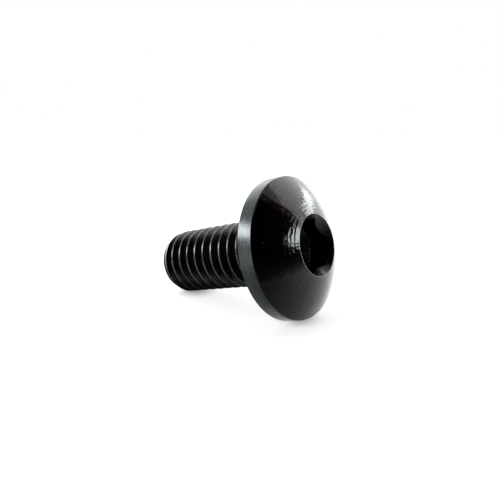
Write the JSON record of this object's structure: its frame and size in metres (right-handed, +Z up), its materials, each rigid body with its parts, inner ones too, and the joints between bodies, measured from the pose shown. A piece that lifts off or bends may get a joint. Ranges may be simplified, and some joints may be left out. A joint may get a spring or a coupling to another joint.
{
  "type": "button head screw",
  "caption": "Low domed button head socket screw with a metric coarse thread to the head, a countersunk hexagon socket and a black oxide finish, lying on its side.",
  "frame": {"origin": "middle of the footprint of the screw's box, on the floor that it lies on", "axes": "+Z up from the floor; +X along the floor from the screw's tip towards its head, so the screw's own axis lies in the XZ plane and rises towards the head; +Y across"},
  "size_m": [0.0166, 0.012, 0.0119],
  "materials": {
    "black_steel": "black oxide over turned and rolled steel, semi-gloss"
  },
  "bodies": {
    "root": {"screw": "black_steel"}
  },
  "joints": []
}
